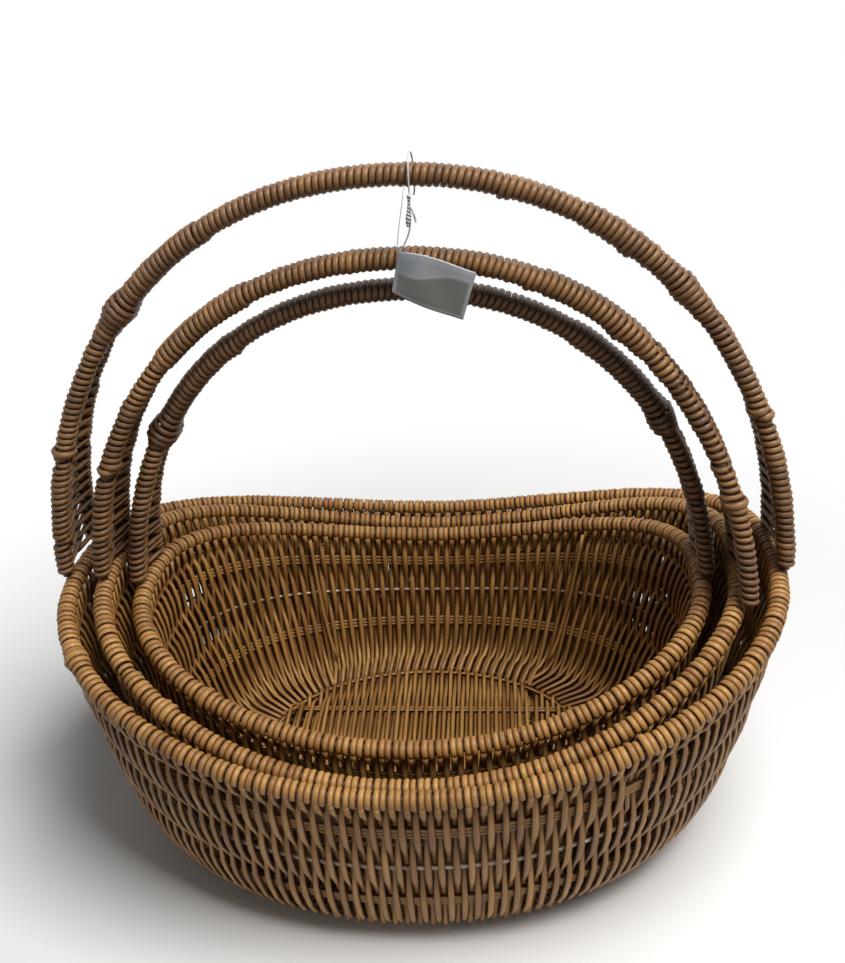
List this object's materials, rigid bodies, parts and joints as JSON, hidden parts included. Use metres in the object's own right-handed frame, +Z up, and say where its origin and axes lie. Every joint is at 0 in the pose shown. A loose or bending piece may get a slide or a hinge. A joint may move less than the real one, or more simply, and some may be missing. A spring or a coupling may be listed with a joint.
{
  "type": "nested rattan basket",
  "caption": "Nest of oval wicker carrying baskets of woven round cane over an iron wire frame, each with an arched handle bound in cane and a blank hang tag.",
  "frame": {"origin": "on the ground, under the middle of the large basket's rim", "axes": "+X along the baskets and their handles, +Y away from the viewer, +Z up"},
  "size_m": [0.419, 0.2952, 0.3929],
  "materials": {
    "cane": "round golden-brown cane, peeled, satin, with fine streaks along it",
    "iron_wire": "dark brown iron rod and wire, mostly hidden by the cane",
    "nylon_thread": "fine whitish nylon thread",
    "clear_sleeve": "translucent blue-grey plastic sleeve, blank"
  },
  "bodies": {
    "large_basket": {"large_rim_rod": "iron_wire", "large_rim_binding": "cane", "large_wall_weave": "cane", "large_lower_hoop": "iron_wire", "large_middle_hoop": "iron_wire", "large_upper_hoop": "iron_wire", "large_front_left_rib": "iron_wire", "large_back_left_rib": "iron_wire", "large_left_leg_lacing": "cane", "large_front_right_rib": "iron_wire", "large_back_right_rib": "iron_wire", "large_right_leg_lacing": "cane", "large_bottom_weave": "cane", "large_bottom_ring": "iron_wire", "large_bottom_front_wire": "iron_wire", "large_bottom_back_wire": "iron_wire", "large_handle_front_rod": "iron_wire", "large_handle_back_rod": "iron_wire", "large_grip_binding": "cane"},
    "middle_basket": {"middle_rim_rod": "iron_wire", "middle_rim_binding": "cane", "middle_wall_weave": "cane", "middle_lower_hoop": "iron_wire", "middle_middle_hoop": "iron_wire", "middle_upper_hoop": "iron_wire", "middle_front_left_rib": "iron_wire", "middle_back_left_rib": "iron_wire", "middle_left_leg_lacing": "cane", "middle_front_right_rib": "iron_wire", "middle_back_right_rib": "iron_wire", "middle_right_leg_lacing": "cane", "middle_bottom_weave": "cane", "middle_bottom_ring": "iron_wire", "middle_bottom_front_wire": "iron_wire", "middle_bottom_back_wire": "iron_wire", "middle_handle_front_rod": "iron_wire", "middle_handle_back_rod": "iron_wire", "middle_grip_binding": "cane"},
    "small_basket": {"small_rim_rod": "iron_wire", "small_rim_binding": "cane", "small_wall_weave": "cane", "small_lower_hoop": "iron_wire", "small_middle_hoop": "iron_wire", "small_upper_hoop": "iron_wire", "small_front_left_rib": "iron_wire", "small_back_left_rib": "iron_wire", "small_left_leg_lacing": "cane", "small_front_right_rib": "iron_wire", "small_back_right_rib": "iron_wire", "small_right_leg_lacing": "cane", "small_bottom_weave": "cane", "small_bottom_ring": "iron_wire", "small_bottom_front_wire": "iron_wire", "small_bottom_back_wire": "iron_wire", "small_handle_front_rod": "iron_wire", "small_handle_back_rod": "iron_wire", "small_grip_binding": "cane"},
    "hang_tag": {"tag_thread": "nylon_thread", "tag_sleeve": "clear_sleeve", "tag_knot": "nylon_thread"}
  },
  "joints": [
    {"name": "middle_lift", "type": "slide", "parent": "large_basket", "child": "middle_basket", "axis": [0, 0, 1], "range_m": [0, 0.02]},
    {"name": "small_lift", "type": "slide", "parent": "middle_basket", "child": "small_basket", "axis": [0, 0, 1], "range_m": [0, 0.006]},
    {"name": "tag_swing", "type": "hinge", "parent": "large_basket", "child": "hang_tag", "pos_m": [0, 0, 0.3825], "axis": [-1, 0, 0], "range_deg": [0, 60]}
  ]
}
